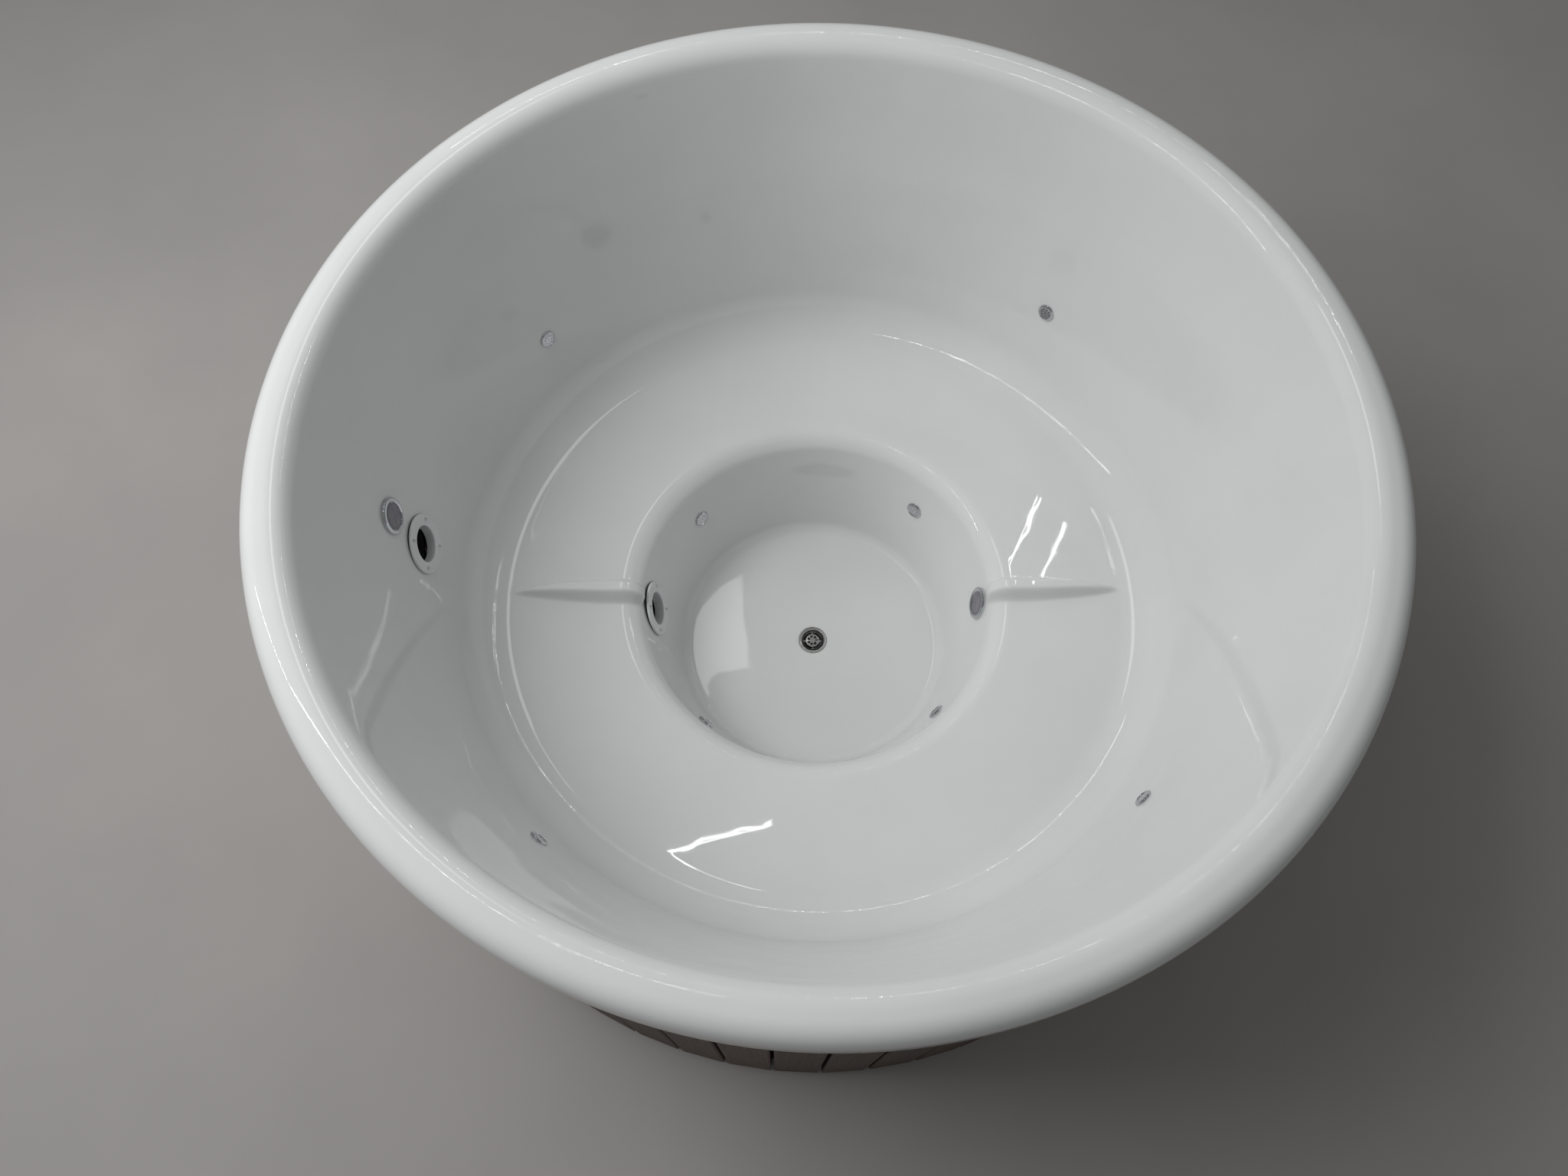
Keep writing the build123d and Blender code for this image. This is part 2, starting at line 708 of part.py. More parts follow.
def make_grid():
    top = grid_seat + grid_thickness
    grid = turned(
        (0, grid_seat), (grid_radius, grid_seat), (grid_radius, top - grid_thickness / 2),
        (grid_radius - grid_thickness / 2, top), (0, top))
    for spot in PolarLocations(grid_hole_circle, grid_hole_count):
        grid -= spot * rod(grid_hole_radius, grid_seat - 1, top + 1)
    head_top_radius = grid_screw_head_radius * 0.75
    head = Cone(grid_screw_head_radius, head_top_radius, grid_screw_head_height, align=on_its_foot)
    shank = rod(grid_screw_radius - bedding_gap, top - grid_screw_length, top)
    return grid + Pos(0, 0, top) * head + shank


def make_elbow():
    top = drain_axis_height + elbow_rise
    level = Pos(0, 0, drain_axis_height) * Rot(0, 90, 0)
    outer = drain_tail_radius + slip_gap + socket_wall
    inner = drain_pipe_radius - drain_pipe_wall
    body = rod(outer, drain_axis_height, top) + Pos(0, 0, drain_axis_height) * Sphere(outer)
    body += level * rod(drain_pipe_radius + slip_gap + socket_wall, 0, elbow_reach)
    body -= Pos(0, 0, drain_axis_height) * Sphere(inner)
    body -= rod(inner, drain_axis_height, top + 1)
    body -= level * rod(inner, 0, elbow_reach + 1)
    body -= rod(drain_tail_radius + slip_gap, floor_level - drain_tail_length - end_gap, top + 1)
    body -= level * rod(drain_pipe_radius + slip_gap, elbow_reach - elbow_socket_depth, elbow_reach + 1)
    return body


gasket_low = shell_underside - drain_gasket_thickness
pieces["drain_flange"] = make_drain_flange()
pieces["drain_grid"] = make_grid()
pieces["drain_gasket"] = ring(drain_nut_radius, drain_tail_radius + slip_gap, gasket_low, shell_underside)
nut_low = gasket_low - drain_nut_height
pieces["drain_nut"] = hex_ring(drain_nut_radius, drain_tail_radius + slip_gap / 2, nut_low, gasket_low)
pieces["drain_elbow"] = around(drain_azimuth) * make_elbow()

valve_place = around(drain_azimuth) * Pos(valve_distance, 0, drain_axis_height)
pipe_start = elbow_reach - elbow_socket_depth + end_gap
pipe_end = valve_distance - valve_half_length + elbow_socket_depth - end_gap
pieces["drain_pipe"] = around(drain_azimuth) * Pos(0, 0, drain_axis_height) * Rot(0, 90, 0) * ring(
    drain_pipe_radius, drain_pipe_radius - drain_pipe_wall, pipe_start, pipe_end)


# Ball valve: body, ball, stem and lever. It is shut at rest, with the lever across the pipe.

def make_valve_body():
    level = Rot(0, 90, 0)
    outlet_end = valve_half_length + valve_outlet_length
    shoulder = valve_belly_half_length + valve_belly_radius - valve_waist_radius
    body = level * turned(
        (0, -valve_half_length), (valve_waist_radius, -valve_half_length), (valve_waist_radius, -shoulder),
        (valve_belly_radius, -valve_belly_half_length), (valve_belly_radius, valve_belly_half_length),
        (valve_waist_radius, shoulder), (valve_waist_radius, valve_half_length),
        (drain_pipe_radius, valve_half_length), (drain_pipe_radius, outlet_end), (0, outlet_end))
    body += rod(valve_neck_radius, 0, valve_neck_top)
    body -= Sphere(valve_ball_radius + running_gap)
    body -= level * rod(valve_port_radius, -valve_half_length - 1, outlet_end + 1)
    socket_end = elbow_socket_depth - valve_half_length
    body -= level * rod(drain_pipe_radius + slip_gap, -valve_half_length - 1, socket_end)
    return body - rod(stem_radius + running_gap, 0, valve_neck_top + 1)


def make_valve_ball():
    ball = Sphere(valve_ball_radius)
    ball -= Rot(90, 0, 0) * rod(valve_port_radius, -valve_ball_radius - 1, valve_ball_radius + 1)
    slot_width = tang_width + bedding_gap * 2
    slot = Box(2 * valve_ball_radius, slot_width, 2 * (tang_depth + bedding_gap))
    return ball - Pos(0, 0, valve_ball_radius) * slot


def make_stem():
    tang_low = valve_ball_radius - tang_depth
    stem = rod(stem_radius, valve_ball_radius + 0.3, valve_neck_top + 1)
    tang = rod(stem_radius, tang_low, valve_ball_radius + 0.3) & Box(stem_top, tang_width, 2 * stem_top)
    square = extrude(Pos(0, 0, valve_neck_top) * Rectangle(stem_flat, stem_flat), stem_top - valve_neck_top)
    return stem + tang + square


def make_handle():
    low = valve_neck_top + 1.2
    high = low + handle_rise
    level_run = grip_start - 12
    outline = Polyline(
        (-12, low), (level_run, low), (grip_start, high), (handle_length, high),
        (handle_length, high + handle_thickness), (grip_start - 2, high + handle_thickness),
        (level_run - 2, low + handle_thickness), (-12, low + handle_thickness), close=True)
    lever = extrude(Plane.XZ * make_face(outline), handle_width / 2, both=True)
    eye = extrude(Rectangle(stem_flat + bedding_gap * 2, stem_flat + bedding_gap * 2), stem_top * 2)
    grip_level = high + handle_thickness / 2
    lever += Pos(grip_start + 6, 0, grip_level) * Box(
        handle_length - grip_start - 4, handle_width + 4, handle_thickness + 5,
        align=(Align.MIN, Align.CENTER, Align.CENTER))
    return Rot(0, 0, -90) * (lever - eye)


pieces["valve_body"] = valve_place * make_valve_body()
pieces["valve_ball"] = valve_place * make_valve_ball()
pieces["valve_stem"] = valve_place * make_stem()
pieces["valve_handle"] = valve_place * make_handle()

for name, shape in pieces.items():
    export_step(shape, f"parts/{name}.step")
print(len(pieces), "pieces written")
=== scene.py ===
import json
import math
import random
import bpy
from mathutils import Matrix, Vector


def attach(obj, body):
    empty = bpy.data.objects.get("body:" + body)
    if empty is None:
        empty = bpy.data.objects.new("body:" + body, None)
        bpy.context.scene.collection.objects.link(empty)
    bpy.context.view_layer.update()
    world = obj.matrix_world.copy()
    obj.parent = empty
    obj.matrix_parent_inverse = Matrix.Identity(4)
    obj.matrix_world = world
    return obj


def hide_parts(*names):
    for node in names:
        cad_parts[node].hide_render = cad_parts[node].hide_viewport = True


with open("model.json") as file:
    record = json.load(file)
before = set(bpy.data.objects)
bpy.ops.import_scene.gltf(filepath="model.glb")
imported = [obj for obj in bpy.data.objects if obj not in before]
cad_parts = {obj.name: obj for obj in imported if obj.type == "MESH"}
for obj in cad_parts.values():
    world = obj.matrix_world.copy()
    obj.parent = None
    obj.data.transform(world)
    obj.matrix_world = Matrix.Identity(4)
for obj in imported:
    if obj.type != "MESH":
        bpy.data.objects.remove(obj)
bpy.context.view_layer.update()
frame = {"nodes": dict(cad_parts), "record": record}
nodes = frame["nodes"]
print("frame loaded,", len(nodes), "CAD nodes")

# The tub's driving sizes in metres, the same as in the frame. Its axis is Z and the ground is at zero.
tub = {
    "floorLevel": 0.096,
    "benchLevel": 0.383,
    "rimTop": 1.060,
    "rimRadius": 1.000,
    "rimDrop": 0.075,
    "wallTopRadius": 0.918,
    "benchOuterRadius": 0.751,
    "wellTopRadius": 0.396,
    "wellFootRadius": 0.314,
    "wall": 0.008,
    "boardCount": 60,
}


# Small tools: selecting, drawing an outline, turning it, cutting and finishing

def clearSelection():
    if bpy.context.object and bpy.context.object.mode == "EDIT":
        bpy.ops.object.mode_set(mode="OBJECT")
    bpy.ops.object.select_all(action="DESELECT")


def pick(obj):
    clearSelection()
    obj.select_set(True)
    bpy.context.view_layer.objects.active = obj


def roundedPath(corners, rounds, arcSteps, runSteps=1):
    # corners joined by straight runs, each inner corner turned by an arc; runs may be divided
    if isinstance(rounds, (int, float)):
        rounds = [rounds] * (len(corners) - 2)
    if isinstance(arcSteps, int):
        arcSteps = [arcSteps] * (len(corners) - 2)
    if isinstance(runSteps, int):
        runSteps = [runSteps] * (len(corners) - 1)
    stretches = [[Vector(corners[0])]]
    for before, corner, after, radius, steps in zip(corners, corners[1:], corners[2:], rounds, arcSteps):
        corner = Vector(corner)
        inWay = (corner - Vector(before)).normalized()
        outWay = (Vector(after) - corner).normalized()
        turn = math.atan2(inWay.x * outWay.y - inWay.y * outWay.x, inWay.dot(outWay))
        if radius <= 0 or abs(turn) < 1e-4:
            stretches.append([corner])
            continue
        start = corner - inWay * radius * math.tan(abs(turn) / 2)
        side = 1 if turn > 0 else -1
        centre = start + Vector((-inWay.y, inWay.x)) * radius * side
        spoke = start - centre
        arc = []
        for step in range(steps + 1):
            angle = turn * step / steps
            arc.append(centre + Vector((
                spoke.x * math.cos(angle) - spoke.y * math.sin(angle),
                spoke.x * math.sin(angle) + spoke.y * math.cos(angle))))
        stretches.append(arc)
    stretches.append([Vector(corners[-1])])
    points = []
    for index, stretch in enumerate(stretches):
        if points:
            last = points[-1]
            count = runSteps[index - 1]
            points += [last.lerp(stretch[0], step / count) for step in range(1, count)]
        points += stretch
    return [tuple(p) for p in points]


def drawOutline(name, points, azimuth=0.0):
    # a plane drawn together to one vertex, then drawn out from point to point beside the axis
    clearSelection()
    bpy.ops.mesh.primitive_plane_add(size=0.01)
    obj = bpy.context.object
    obj.name = name
    obj.data.name = name
    places = [Vector((r * math.cos(azimuth), r * math.sin(azimuth), z)) for r, z in points]
    bpy.ops.object.mode_set(mode="EDIT")
    bpy.ops.mesh.select_all(action="SELECT")
    bpy.ops.mesh.merge(type="CENTER")
    bpy.ops.transform.translate(value=places[0])
    for last, now in zip(places, places[1:]):
        bpy.ops.mesh.extrude_region_move(TRANSFORM_OT_translate={"value": now - last})
    bpy.ops.object.mode_set(mode="OBJECT")
    return obj


def spinRound(obj, turns, closeGap=1e-6):
    pick(obj)
    bpy.ops.object.mode_set(mode="EDIT")
    bpy.ops.mesh.select_all(action="SELECT")
    for angle, steps in turns:
        bpy.ops.mesh.spin(steps=steps, angle=angle, center=(0, 0, 0), axis=(0, 0, 1))
    bpy.ops.mesh.select_all(action="SELECT")
    bpy.ops.mesh.remove_doubles(threshold=closeGap)
    bpy.ops.mesh.normals_make_consistent(inside=False)
    bpy.ops.object.mode_set(mode="OBJECT")


def turnedPiece(name, points, steps=64):
    obj = drawOutline(name, points)
    spinRound(obj, [(2 * math.pi, steps)])
    return obj


def setPlace(obj, place):
    obj.matrix_world = place
    pick(obj)
    bpy.ops.object.transform_apply(location=True, rotation=True, scale=True)


def applyModifier(obj, kind, **settings):
    modifier = obj.modifiers.new(kind.lower(), kind)
    for key, value in settings.items():
        setattr(modifier, key, value)
    pick(obj)
    bpy.ops.object.modifier_apply(modifier=modifier.name)


def joined(objs, name):
    clearSelection()
    for obj in objs:
        obj.select_set(True)
    bpy.context.view_layer.objects.active = objs[0]
    if len(objs) > 1:
        bpy.ops.object.join()
    obj = bpy.context.object
    obj.name = name
    obj.data.name = name
    return obj


def roundBar(radius, low, high, place=Matrix(), sides=48):
    clearSelection()
    bpy.ops.mesh.primitive_cylinder_add(vertices=sides, radius=radius, depth=high - low,
                                        location=(0, 0, (low + high) / 2))
    obj = bpy.context.object
    pick(obj)
    bpy.ops.object.transform_apply(location=True, rotation=True, scale=True)
    setPlace(obj, place)
    return obj


def boxBar(size, place, turn=0):
    # a box centred at its place and turned about Z
    clearSelection()
    bpy.ops.mesh.primitive_cube_add(size=1, location=place)
    obj = bpy.context.object
    obj.scale = size
    obj.rotation_euler = (0, 0, math.radians(turn))
    pick(obj)
    bpy.ops.object.transform_apply(location=True, rotation=True, scale=True)
    return obj


def cutAway(obj, cutters):
    cutter = joined(cutters, "cutter")
    applyModifier(obj, "BOOLEAN", operation="DIFFERENCE", solver="EXACT", object=cutter)
    bpy.data.objects.remove(cutter)


def smooth(obj, degrees=35):
    pick(obj)
    bpy.ops.object.shade_smooth_by_angle(angle=math.radians(degrees))


def copyOf(obj, name, place):
    # a copy with its own mesh, put in its place
    twin = obj.copy()
    twin.data = obj.data.copy()
    twin.name = name
    twin.data.name = name
    bpy.context.collection.objects.link(twin)
    setPlace(twin, place)
    return twin


def finishPiece(obj, material, replaced=(), degrees=35):
    smooth(obj, degrees)
    obj.data.materials.clear()
    obj.data.materials.append(material)
    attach(obj, "tub")
    if replaced:
        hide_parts(*replaced)
    return obj


# Places on the two leaning walls: Z points square into the water and Y up the wall

def wallPlace(footRadius, foot, topRadius, top, azimuth, height):
    slope = (topRadius - footRadius) / (top - foot)
    radius = footRadius + (height - foot) * slope
    lean = math.atan(slope)
    angle = math.radians(azimuth)
    xWay = Vector((math.sin(angle), -math.cos(angle), 0))
    zWay = Vector((-math.cos(angle) * math.cos(lean), -math.sin(angle) * math.cos(lean), math.sin(lean)))
    yWay = zWay.cross(xWay)
    place = Matrix((xWay, yWay, zWay)).transposed().to_4x4()
    place.translation = Vector((radius * math.cos(angle), radius * math.sin(angle), height))
    bend = radius / math.cos(lean)
    return place, bend


def onUpperWall(azimuth, height):
    return wallPlace(
        tub["benchOuterRadius"], tub["benchLevel"], tub["wallTopRadius"], tub["rimTop"], azimuth, height)


def onWellWall(azimuth, height):
    return wallPlace(
        tub["wellFootRadius"], tub["floorLevel"], tub["wellTopRadius"], tub["benchLevel"], azimuth, height)


def curveDepth(halfWidth, bend):
    return bend - math.sqrt(bend * bend - halfWidth * halfWidth)


heater = {
    "azimuth": 180,
    "upperHeight": 0.620,
    "lowerHeight": 0.290,
    "flangeRadius": 0.062,
    "boreRadius": 0.0375,
    "spigotRadius": 0.042,
    "spigotLength": 0.012,
    "thickness": 0.005,
    "sealThickness": 0.0012,
    "screwCircle": 0.051,
    "screwTurn": 20,
    "screwCount": 4,
    "screwHeadRadius": 0.0040,
    "screwHeadHeight": 0.0026,
}
lamp = {
    "upperAzimuth": 180,
    "upperHeight": 0.740,
    "lowerAzimuth": 0,
    "lowerHeight": 0.310,
    "bezelRadius": 0.0375,
    "bezelHeight": 0.0074,
    "lensRadius": 0.027,
    "cupRadius": 0.025,
    "grooveShare": 1.7,
    "grooveWidth": 0.0012,
    "grooveTall": 0.0030,
    "grooveLift": 0.0032,
}
nozzle = {
    "upperHeight": 0.592,
    "lowerHeight": 0.267,
    "upperTurn": 48.5,
    "lowerTurn": 47.3,
    "count": 4,
    "holeRadius": 0.0148,
    "capRadius": 0.0195,
    "domeHeight": 0.0052,
    "faceRadius": 0.0143,
    "faceHeight": 0.0038,
    "outerHoles": 8,
    "outerHoleCircle": 0.0096,
    "pinHoleRadius": 0.0012,
}

heaterPlaces = {
    "upper": onUpperWall(heater["azimuth"], heater["upperHeight"]),
    "lower": onWellWall(heater["azimuth"], heater["lowerHeight"]),
}
lampPlaces = {
    "upper": onUpperWall(lamp["upperAzimuth"], lamp["upperHeight"]),
    "lower": onWellWall(lamp["lowerAzimuth"], lamp["lowerHeight"]),
}
nozzlePlaces = {}
for number in range(nozzle["count"]):
    step = 360 / nozzle["count"] * number
    nozzlePlaces[f"upper_{number + 1}"] = onUpperWall(nozzle["upperTurn"] + step, nozzle["upperHeight"])
    nozzlePlaces[f"lower_{number + 1}"] = onWellWall(nozzle["lowerTurn"] + step, nozzle["lowerHeight"])


# Materials

def addNode(tree, kind, inputs=None, **settings):
    node = tree.nodes.new(kind)
    for key, value in settings.items():
        setattr(node, key, value)
    for key, value in (inputs or {}).items():
        socket = node.inputs[key]
        if isinstance(value, bpy.types.NodeSocket):
            tree.links.new(value, socket)
        else:
            socket.default_value = value
    return node


def calc(tree, operation, *values, clamp=False):
    node = tree.nodes.new("ShaderNodeMath")
    node.operation = operation
    node.use_clamp = clamp
    for socket, value in zip(node.inputs, values):
        if isinstance(value, bpy.types.NodeSocket):
            tree.links.new(value, socket)
        else:
            socket.default_value = value
    return node.outputs[0]


def spread(tree, value, low, high, toLow=0.0, toHigh=1.0):
    node = addNode(tree, "ShaderNodeMapRange", {
        "Value": value, "From Min": low, "From Max": high, "To Min": toLow, "To Max": toHigh}, clamp=True)
    return node.outputs["Result"]


def blendColours(tree, factor, first, second):
    node = addNode(tree, "ShaderNodeMix", data_type="RGBA")
    for index, value in ((0, factor), (6, first), (7, second)):
        if isinstance(value, bpy.types.NodeSocket):
            tree.links.new(value, node.inputs[index])
        elif index == 0:
            node.inputs[index].default_value = value
        else:
            node.inputs[index].default_value = (*value, 1)
    return node.outputs[2]


def newGroup(name, inputs, outputs):
    group = bpy.data.node_groups.new(name, "ShaderNodeTree")
    for socketName, kind, value in inputs:
        socket = group.interface.new_socket(socketName, in_out="INPUT", socket_type=kind)
        if value is not None:
            socket.default_value = value
    for socketName, kind in outputs:
        group.interface.new_socket(socketName, in_out="OUTPUT", socket_type=kind)
    source = group.nodes.new("NodeGroupInput")
    target = group.nodes.new("NodeGroupOutput")
    return group, source.outputs, target.inputs


def makeMottleGroup():
    # soft clouds and fine specks, for colour, roughness and a faint unevenness
    group, given, wanted = newGroup("softMottle", [
        ("Vector", "NodeSocketVector", None), ("Cloud Scale", "NodeSocketFloat", 6.0),
        ("Speck Scale", "NodeSocketFloat", 400.0), ("Speck Share", "NodeSocketFloat", 0.3)], [
        ("Mask", "NodeSocketFloat"), ("Specks", "NodeSocketFloat"), ("Height", "NodeSocketFloat")])
    cloud = addNode(group, "ShaderNodeTexNoise", {
        "Vector": given["Vector"], "Scale": given["Cloud Scale"], "Detail": 4.0, "Roughness": 0.55})
    speck = addNode(group, "ShaderNodeTexNoise", {
        "Vector": given["Vector"], "Scale": given["Speck Scale"], "Detail": 2.0, "Roughness": 0.6})
    mask = spread(group, cloud.outputs[0], 0.32, 0.68)
    specks = spread(group, speck.outputs[0], 0.35, 0.65)
    fine = calc(group, "MULTIPLY", specks, given["Speck Share"])
    group.links.new(mask, wanted["Mask"])
    group.links.new(specks, wanted["Specks"])
    group.links.new(calc(group, "ADD", mask, fine), wanted["Height"])
    return group


def makeGrainGroup():
    # timber grain that runs along the vector's Z
    group, given, wanted = newGroup("timberGrain", [
        ("Vector", "NodeSocketVector", None), ("Figure Scale", "NodeSocketFloat", 30.0),
        ("Fibre Scale", "NodeSocketFloat", 420.0), ("Stretch", "NodeSocketFloat", 0.04)], [
        ("Figure", "NodeSocketFloat"), ("Fibre", "NodeSocketFloat"), ("Pores", "NodeSocketFloat"),
        ("Height", "NodeSocketFloat")])
    parts = addNode(group, "ShaderNodeSeparateXYZ", {"Vector": given["Vector"]})
    along = calc(group, "MULTIPLY", parts.outputs["Z"], given["Stretch"])
    drawn = addNode(group, "ShaderNodeCombineXYZ", {
        "X": parts.outputs["X"], "Y": parts.outputs["Y"], "Z": along})
    warp = addNode(group, "ShaderNodeTexNoise", {
        "Vector": drawn.outputs[0], "Detail": 2.0,
        "Scale": calc(group, "MULTIPLY", given["Figure Scale"], 0.5)})
    nudge = addNode(group, "ShaderNodeVectorMath", {
        0: warp.outputs["Color"], 1: (0.02, 0.02, 0.02)}, operation="MULTIPLY")
    warped = addNode(group, "ShaderNodeVectorMath", {
        0: drawn.outputs[0], 1: nudge.outputs[0]}, operation="ADD")
    rings = addNode(group, "ShaderNodeTexWave", {
        "Vector": warped.outputs[0], "Scale": given["Figure Scale"], "Distortion": 6.0, "Detail": 3.0,
        "Detail Scale": 1.4, "Detail Roughness": 0.6}, bands_direction="X", wave_profile="SIN")
    fibre = addNode(group, "ShaderNodeTexNoise", {
        "Vector": drawn.outputs[0], "Scale": given["Fibre Scale"], "Detail": 5.0, "Roughness": 0.65})
    pores = addNode(group, "ShaderNodeTexNoise", {
        "Vector": drawn.outputs[0], "Detail": 2.0,
        "Scale": calc(group, "MULTIPLY", given["Fibre Scale"], 2.4)})
    figure = rings.outputs["Fac"]
    fibreOut = spread(group, fibre.outputs[0], 0.3, 0.7)
    poreOut = spread(group, pores.outputs[0], 0.58, 0.68)
    group.links.new(figure, wanted["Figure"])
    group.links.new(fibreOut, wanted["Fibre"])
    group.links.new(poreOut, wanted["Pores"])
    figureRelief = calc(group, "MULTIPLY", figure, 0.35)
    fibreRelief = calc(group, "MULTIPLY", fibreOut, 0.65)
    poreRelief = calc(group, "MULTIPLY", poreOut, 0.5)
    relief = calc(group, "SUBTRACT", calc(group, "ADD", figureRelief, fibreRelief), poreRelief)
    group.links.new(relief, wanted["Height"])
    return group


def makeBoardGroup():
    # which board of the ring a point is on, and the point's place on that board
    group, given, wanted = newGroup("boardLayout", [
        ("Vector", "NodeSocketVector", None), ("Boards", "NodeSocketFloat", 60.0)], [
        ("Board Vector", "NodeSocketVector"), ("Board Tone", "NodeSocketFloat"),
        ("Height Along", "NodeSocketFloat")])
    parts = addNode(group, "ShaderNodeSeparateXYZ", {"Vector": given["Vector"]})
    angle = calc(group, "ARCTAN2", parts.outputs["Y"], parts.outputs["X"])
    turns = calc(group, "ADD", calc(group, "DIVIDE", angle, 2 * math.pi), 1.0)
    share = calc(group, "MULTIPLY", turns, given["Boards"])
    index = calc(group, "FLOOR", share)
    across = calc(group, "MULTIPLY", calc(group, "FRACT", share), 0.102)
    tone = addNode(group, "ShaderNodeTexWhiteNoise", {"W": index}, noise_dimensions="1D")
    shift = calc(group, "MULTIPLY", index, 3.7)
    level = addNode(group, "ShaderNodeCombineXYZ", {"X": parts.outputs["X"], "Y": parts.outputs["Y"]})
    radial = addNode(group, "ShaderNodeVectorMath", {0: level.outputs[0]}, operation="LENGTH")
    place = addNode(group, "ShaderNodeCombineXYZ", {
        "X": across, "Y": calc(group, "ADD", radial.outputs["Value"], shift),
        "Z": calc(group, "ADD", parts.outputs["Z"], shift)})
    group.links.new(place.outputs[0], wanted["Board Vector"])
    group.links.new(tone.outputs["Value"], wanted["Board Tone"])
    group.links.new(parts.outputs["Z"], wanted["Height Along"])
    return group


mottleGroup = makeMottleGroup()
grainGroup = makeGrainGroup()
boardGroup = makeBoardGroup()


def newMaterial(name):
    material = bpy.data.materials.new(name)
    material.use_nodes = True
    tree = material.node_tree
    shader = next(node for node in tree.nodes if node.type == "BSDF_PRINCIPLED")
    where = addNode(tree, "ShaderNodeTexCoord").outputs["Object"]
    return material, tree, shader, where


def addGroup(tree, group, inputs):
    node = tree.nodes.new("ShaderNodeGroup")
    node.node_tree = group
    for key, value in inputs.items():
        if isinstance(value, bpy.types.NodeSocket):
            tree.links.new(value, node.inputs[key])
        else:
            node.inputs[key].default_value = value
    return node.outputs


def addBump(tree, shader, height, distance, strength=1.0, normal=None):
    inputs = {"Height": height, "Distance": distance, "Strength": strength}
    if normal is not None:
        inputs["Normal"] = normal
    bump = addNode(tree, "ShaderNodeBump", inputs)
    tree.links.new(bump.outputs[0], shader.inputs["Normal"])
    return bump.outputs[0]


def gelcoatMaterial():
    look = {"colour": (0.70, 0.71, 0.705), "shade": (0.665, 0.678, 0.675),
            "roughLow": 0.015, "roughHigh": 0.045}
    material, tree, shader, where = newMaterial("gelcoat")
    mottle = addGroup(tree, mottleGroup, {"Vector": where, "Cloud Scale": 3.2, "Speck Scale": 900.0})
    colour = blendColours(tree, mottle["Mask"], look["colour"], look["shade"])
    tree.links.new(colour, shader.inputs["Base Color"])
    rough = spread(tree, mottle["Mask"], 0, 1, look["roughLow"], look["roughHigh"])
    tree.links.new(rough, shader.inputs["Roughness"])
    wave = addNode(tree, "ShaderNodeTexNoise", {
        "Vector": where, "Scale": 9.0, "Detail": 1.5, "Roughness": 0.4})
    waved = addBump(tree, shader, wave.outputs[0], 0.0012, 0.5)
    peel = addNode(tree, "ShaderNodeTexNoise", {"Vector": where, "Scale": 260.0, "Detail": 1.0})
    addBump(tree, shader, peel.outputs[0], 0.00001, 0.3, waved)
    shader.inputs["IOR"].default_value = 1.52
    shader.inputs["Coat Weight"].default_value = 0.3
    shader.inputs["Coat Roughness"].default_value = 0.012
    return material


def boardMaterial():
    look = {"dark": (0.026, 0.014, 0.009), "light": (0.098, 0.052, 0.031), "worn": (0.115, 0.070, 0.047)}
    material, tree, shader, where = newMaterial("darkWood")
    board = addGroup(tree, boardGroup, {"Vector": where, "Boards": float(tub["boardCount"])})
    grain = addGroup(tree, grainGroup, {
        "Vector": board["Board Vector"], "Figure Scale": 22.0, "Fibre Scale": 520.0, "Stretch": 0.035})
    tone = calc(tree, "ADD", calc(tree, "MULTIPLY", grain["Figure"], 0.45),
                calc(tree, "MULTIPLY", board["Board Tone"], 0.45))
    tone = calc(tree, "ADD", tone, calc(tree, "MULTIPLY", grain["Fibre"], 0.3), clamp=True)
    colour = blendColours(tree, tone, look["dark"], look["light"])
    dusty = addGroup(tree, mottleGroup, {"Vector": where, "Cloud Scale": 9.0, "Speck Scale": 300.0})
    lowDown = spread(tree, board["Height Along"], 0.02, 0.16, 0.5, 0.0)
    worn = calc(tree, "MULTIPLY", dusty["Mask"], calc(tree, "ADD", lowDown, 0.06), clamp=True)
    colour = blendColours(tree, worn, colour, look["worn"])
    tree.links.new(colour, shader.inputs["Base Color"])
    tree.links.new(spread(tree, grain["Fibre"], 0, 1, 0.42, 0.62), shader.inputs["Roughness"])
    addBump(tree, shader, grain["Height"], 0.0009, 0.8)
    return material


def timberMaterial(name, dark, light, turn=(0, 0, 0), stretch=0.04):
    # turn lays the timber's length along Z
    material, tree, shader, where = newMaterial(name)
    laid = addNode(tree, "ShaderNodeMapping", {"Vector": where, "Rotation": turn}).outputs[0]
    grain = addGroup(tree, grainGroup, {
        "Vector": laid, "Figure Scale": 26.0, "Fibre Scale": 380.0, "Stretch": stretch})
    tone = calc(tree, "ADD", calc(tree, "MULTIPLY", grain["Figure"], 0.6),
                calc(tree, "MULTIPLY", grain["Fibre"], 0.4), clamp=True)
    colour = blendColours(tree, tone, dark, light)
    mottle = addGroup(tree, mottleGroup, {"Vector": where, "Cloud Scale": 5.0, "Speck Scale": 240.0})
    colour = blendColours(tree, calc(tree, "MULTIPLY", mottle["Mask"], 0.25), colour, dark)
    tree.links.new(colour, shader.inputs["Base Color"])
    tree.links.new(spread(tree, grain["Fibre"], 0, 1, 0.55, 0.75), shader.inputs["Roughness"])
    addBump(tree, shader, grain["Height"], 0.0006, 0.7)
    return material


